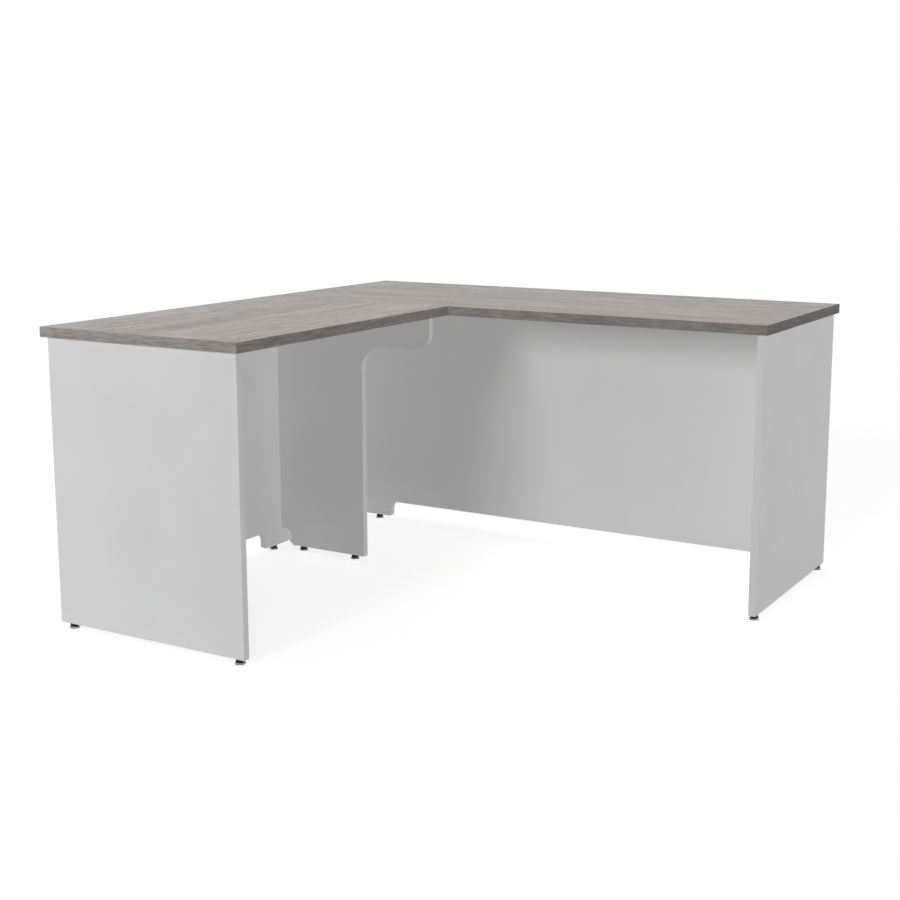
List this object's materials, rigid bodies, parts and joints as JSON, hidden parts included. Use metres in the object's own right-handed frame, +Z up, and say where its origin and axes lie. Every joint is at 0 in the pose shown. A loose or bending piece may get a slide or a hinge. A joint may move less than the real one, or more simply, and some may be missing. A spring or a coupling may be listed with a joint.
{
  "type": "l-shaped desk",
  "caption": "L-shaped office desk with a main top and a return on white panel legs, modesty panels, a curved support panel and levelling glides.",
  "frame": {"origin": "on the floor, below the centre of the desk's square footprint", "axes": "+Z up; the main desk runs along X at the back (+Y) and the return runs along Y on the left (-X)"},
  "size_m": [1.524, 1.524, 0.7594],
  "materials": {
    "woodgrain_laminate": "satin laminate, grey wood grain",
    "woodgrain_edge_band": "satin, grey wood grain",
    "white_laminate": "white melamine laminate, fine satin",
    "white_edge_band": "white, satin",
    "zinc_plated_steel": "zinc plated",
    "cast_zinc": "as cast",
    "white_plastic": "satin",
    "beech": "bare, fluted wood",
    "nickel_plated_steel": "bright nickel plate",
    "dark_nylon": "moulded nylon",
    "dark_plated_steel": "dark plated"
  },
  "bodies": {
    "desk": {"main_top": "woodgrain_laminate", "return_top": "woodgrain_laminate", "main_top_edge_bands": "woodgrain_edge_band", "return_top_edge_bands": "woodgrain_edge_band", "left_end_panel": "white_laminate", "right_end_panel": "white_laminate", "main_side_panel": "white_laminate", "main_modesty_panel": "white_laminate", "return_modesty_panel": "white_laminate", "curved_support_panel": "white_laminate", "left_end_panel_bands": "white_edge_band", "right_end_panel_bands": "white_edge_band", "main_side_panel_band": "white_edge_band", "main_modesty_panel_band": "white_edge_band", "return_modesty_panel_band": "white_edge_band", "curved_support_panel_bands": "white_edge_band", "angle_brackets": "zinc_plated_steel", "bracket_screws": "zinc_plated_steel", "cam_bolts": "zinc_plated_steel", "glide_inserts": "zinc_plated_steel", "cam_locks": "cast_zinc", "cam_cover_caps": "white_plastic", "panel_dowels": "beech", "worktop_dowels": "beech"},
    "glide_base_left_rear": {"glide_cap_left_rear": "nickel_plated_steel", "glide_pad_left_rear": "dark_nylon"},
    "glide_stem_left_rear": {"glide_stem_left_rear": "dark_plated_steel"},
    "glide_base_left_front": {"glide_cap_left_front": "nickel_plated_steel", "glide_pad_left_front": "dark_nylon"},
    "glide_stem_left_front": {"glide_stem_left_front": "dark_plated_steel"},
    "glide_base_right_front": {"glide_cap_right_front": "nickel_plated_steel", "glide_pad_right_front": "dark_nylon"},
    "glide_stem_right_front": {"glide_stem_right_front": "dark_plated_steel"},
    "glide_base_right_rear": {"glide_cap_right_rear": "nickel_plated_steel", "glide_pad_right_rear": "dark_nylon"},
    "glide_stem_right_rear": {"glide_stem_right_rear": "dark_plated_steel"},
    "glide_base_side_front": {"glide_cap_side_front": "nickel_plated_steel", "glide_pad_side_front": "dark_nylon"},
    "glide_stem_side_front": {"glide_stem_side_front": "dark_plated_steel"},
    "glide_base_side_rear": {"glide_cap_side_rear": "nickel_plated_steel", "glide_pad_side_rear": "dark_nylon"},
    "glide_stem_side_rear": {"glide_stem_side_rear": "dark_plated_steel"},
    "glide_base_main_modesty": {"glide_cap_main_modesty": "nickel_plated_steel", "glide_pad_main_modesty": "dark_nylon"},
    "glide_stem_main_modesty": {"glide_stem_main_modesty": "dark_plated_steel"},
    "glide_base_return_modesty": {"glide_cap_return_modesty": "nickel_plated_steel", "glide_pad_return_modesty": "dark_nylon"},
    "glide_stem_return_modesty": {"glide_stem_return_modesty": "dark_plated_steel"},
    "glide_base_support_inner": {"glide_cap_support_inner": "nickel_plated_steel", "glide_pad_support_inner": "dark_nylon"},
    "glide_stem_support_inner": {"glide_stem_support_inner": "dark_plated_steel"},
    "glide_base_support_outer": {"glide_cap_support_outer": "nickel_plated_steel", "glide_pad_support_outer": "dark_nylon"},
    "glide_stem_support_outer": {"glide_stem_support_outer": "dark_plated_steel"}
  },
  "joints": [
    {"name": "left_rear_glide_travel", "type": "slide", "parent": "desk", "child": "glide_base_left_rear", "axis": [0, 0, -1], "range_m": [0, 0.01905]},
    {"name": "left_rear_glide_turn", "type": "hinge", "parent": "glide_base_left_rear", "child": "glide_stem_left_rear", "pos_m": [-0.7113, -0.74247, 0], "axis": [0, 0, -1], "range_deg": [0, 4860]},
    {"name": "left_front_glide_travel", "type": "slide", "parent": "desk", "child": "glide_base_left_front", "axis": [0, 0, -1], "range_m": [0, 0.01905]},
    {"name": "left_front_glide_turn", "type": "hinge", "parent": "glide_base_left_front", "child": "glide_stem_left_front", "pos_m": [-0.1819, -0.74247, 0], "axis": [0, 0, -1], "range_deg": [0, 4860]},
    {"name": "right_front_glide_travel", "type": "slide", "parent": "desk", "child": "glide_base_right_front", "axis": [0, 0, -1], "range_m": [0, 0.01905]},
    {"name": "right_front_glide_turn", "type": "hinge", "parent": "glide_base_right_front", "child": "glide_stem_right_front", "pos_m": [0.74247, 0.1819, 0], "axis": [0, 0, -1], "range_deg": [0, 4860]},
    {"name": "right_rear_glide_travel", "type": "slide", "parent": "desk", "child": "glide_base_right_rear", "axis": [0, 0, -1], "range_m": [0, 0.01905]},
    {"name": "right_rear_glide_turn", "type": "hinge", "parent": "glide_base_right_rear", "child": "glide_stem_right_rear", "pos_m": [0.74247, 0.7113, 0], "axis": [0, 0, -1], "range_deg": [0, 4860]},
    {"name": "side_front_glide_travel", "type": "slide", "parent": "desk", "child": "glide_base_side_front", "axis": [0, 0, -1], "range_m": [0, 0.01905]},
    {"name": "side_front_glide_turn", "type": "hinge", "parent": "glide_base_side_front", "child": "glide_stem_side_front", "pos_m": [-0.73728, 0.2032, 0], "axis": [0, 0, -1], "range_deg": [0, 4860]},
    {"name": "side_rear_glide_travel", "type": "slide", "parent": "desk", "child": "glide_base_side_rear", "axis": [0, 0, -1], "range_m": [0, 0.01905]},
    {"name": "side_rear_glide_turn", "type": "hinge", "parent": "glide_base_side_rear", "child": "glide_stem_side_rear", "pos_m": [-0.73728, 0.696, 0], "axis": [0, 0, -1], "range_deg": [0, 4860]},
    {"name": "main_modesty_glide_travel", "type": "slide", "parent": "desk", "child": "glide_base_main_modesty", "axis": [0, 0, -1], "range_m": [0, 0.01905]},
    {"name": "main_modesty_glide_turn", "type": "hinge", "parent": "glide_base_main_modesty", "child": "glide_stem_main_modesty", "pos_m": [-0.67695, 0.58788, 0], "axis": [0, 0, -1], "range_deg": [0, 4860]},
    {"name": "return_modesty_glide_travel", "type": "slide", "parent": "desk", "child": "glide_base_return_modesty", "axis": [0, 0, -1], "range_m": [0, 0.01905]},
    {"name": "return_modesty_glide_turn", "type": "hinge", "parent": "glide_base_return_modesty", "child": "glide_stem_return_modesty", "pos_m": [-0.73728, 0.1016, 0], "axis": [0, 0, -1], "range_deg": [0, 4860]},
    {"name": "support_inner_glide_travel", "type": "slide", "parent": "desk", "child": "glide_base_support_inner", "axis": [0, 0, -1], "range_m": [0, 0.01905]},
    {"name": "support_inner_glide_turn", "type": "hinge", "parent": "glide_base_support_inner", "child": "glide_stem_support_inner", "pos_m": [-0.65185, 0.13908, 0], "axis": [0, 0, -1], "range_deg": [0, 4860]},
    {"name": "support_outer_glide_travel", "type": "slide", "parent": "desk", "child": "glide_base_support_outer", "axis": [0, 0, -1], "range_m": [0, 0.01905]},
    {"name": "support_outer_glide_turn", "type": "hinge", "parent": "glide_base_support_outer", "child": "glide_stem_support_outer", "pos_m": [-0.4654, 0.13908, 0], "axis": [0, 0, -1], "range_deg": [0, 4860]}
  ],
  "couplings": [
    {"joint": "left_rear_glide_turn", "follows": "left_rear_glide_travel", "rad_per_m": 4452.7},
    {"joint": "left_front_glide_turn", "follows": "left_front_glide_travel", "rad_per_m": 4452.7},
    {"joint": "right_front_glide_turn", "follows": "right_front_glide_travel", "rad_per_m": 4452.7},
    {"joint": "right_rear_glide_turn", "follows": "right_rear_glide_travel", "rad_per_m": 4452.7},
    {"joint": "side_front_glide_turn", "follows": "side_front_glide_travel", "rad_per_m": 4452.7},
    {"joint": "side_rear_glide_turn", "follows": "side_rear_glide_travel", "rad_per_m": 4452.7},
    {"joint": "main_modesty_glide_turn", "follows": "main_modesty_glide_travel", "rad_per_m": 4452.7},
    {"joint": "return_modesty_glide_turn", "follows": "return_modesty_glide_travel", "rad_per_m": 4452.7},
    {"joint": "support_inner_glide_turn", "follows": "support_inner_glide_travel", "rad_per_m": 4452.7},
    {"joint": "support_outer_glide_turn", "follows": "support_outer_glide_travel", "rad_per_m": 4452.7}
  ]
}
